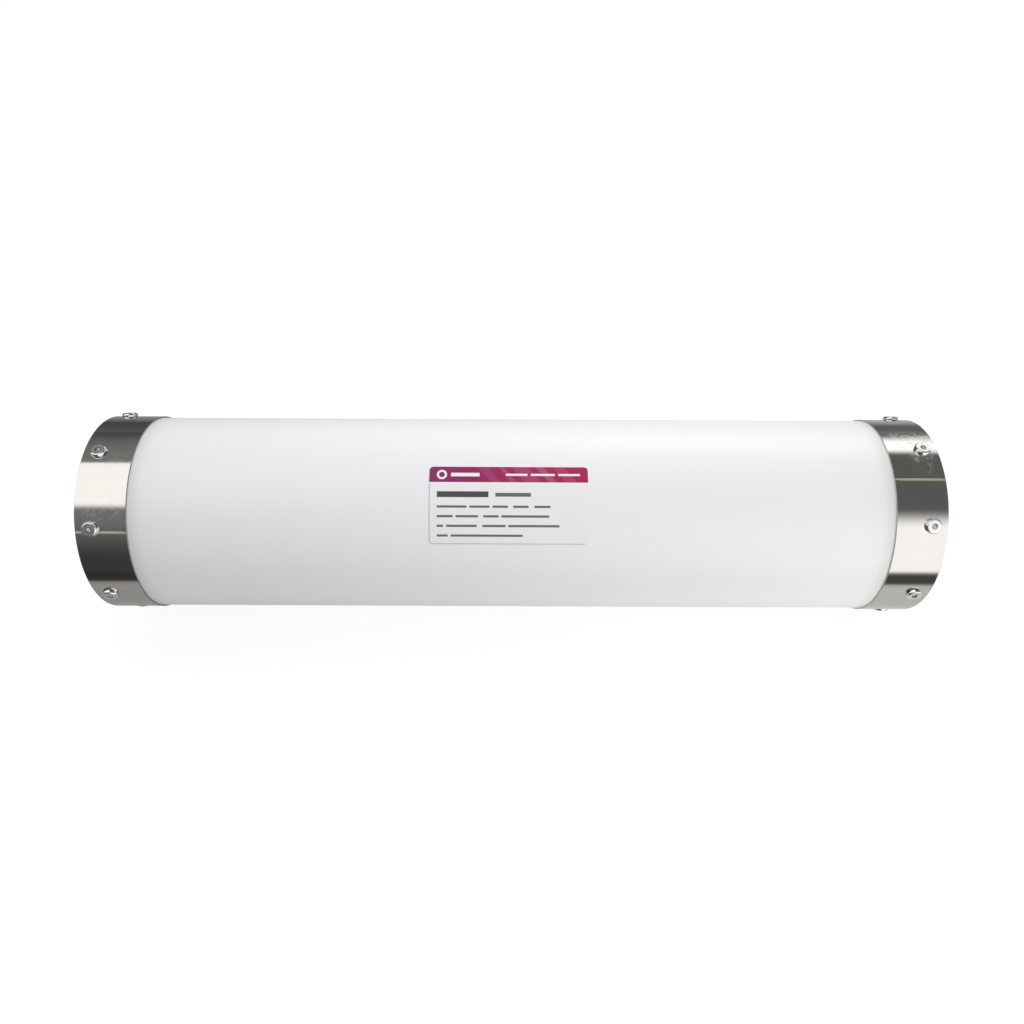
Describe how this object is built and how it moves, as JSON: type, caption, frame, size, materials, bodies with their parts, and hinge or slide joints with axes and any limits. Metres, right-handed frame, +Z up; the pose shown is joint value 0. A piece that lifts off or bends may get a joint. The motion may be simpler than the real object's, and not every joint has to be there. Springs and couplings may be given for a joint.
{
  "type": "flash chromatography cartridge",
  "caption": "Preparative flash chromatography column: white plastic tube packed with silica, closed by screwed end plugs under stainless bands, with a threaded port at each end.",
  "frame": {"origin": "on the surface that the cartridge lies on, below the middle of the tube", "axes": "+X along the tube from inlet to outlet, +Z up, the label on the side towards -Y near the top"},
  "size_m": [0.76, 0.1844, 0.1845],
  "materials": {
    "barrel_plastic": "satin",
    "band_steel": "bright, finely brushed",
    "screw_steel": "bright",
    "plug_plastic": "turned",
    "seal_rubber": "smooth",
    "fitting_steel": "turned",
    "gasket_plastic": "smooth",
    "distributor_plastic": "machined",
    "frit_plastic": "sintered",
    "silica": "fine powder",
    "label_print": "printed film, satin"
  },
  "bodies": {
    "root": {"barrel": "barrel_plastic", "silica_bed": "silica", "label": "label_print", "inlet_band": "band_steel", "inlet_screws": "screw_steel", "inlet_plug": "plug_plastic", "inlet_outer_seal": "seal_rubber", "inlet_inner_seal": "seal_rubber", "inlet_port_fitting": "fitting_steel", "inlet_port_gasket": "gasket_plastic", "inlet_distributor": "distributor_plastic", "inlet_frit": "frit_plastic", "outlet_band": "band_steel", "outlet_screws": "screw_steel", "outlet_plug": "plug_plastic", "outlet_outer_seal": "seal_rubber", "outlet_inner_seal": "seal_rubber", "outlet_port_fitting": "fitting_steel", "outlet_port_gasket": "gasket_plastic", "outlet_distributor": "distributor_plastic", "outlet_frit": "frit_plastic"}
  },
  "joints": []
}
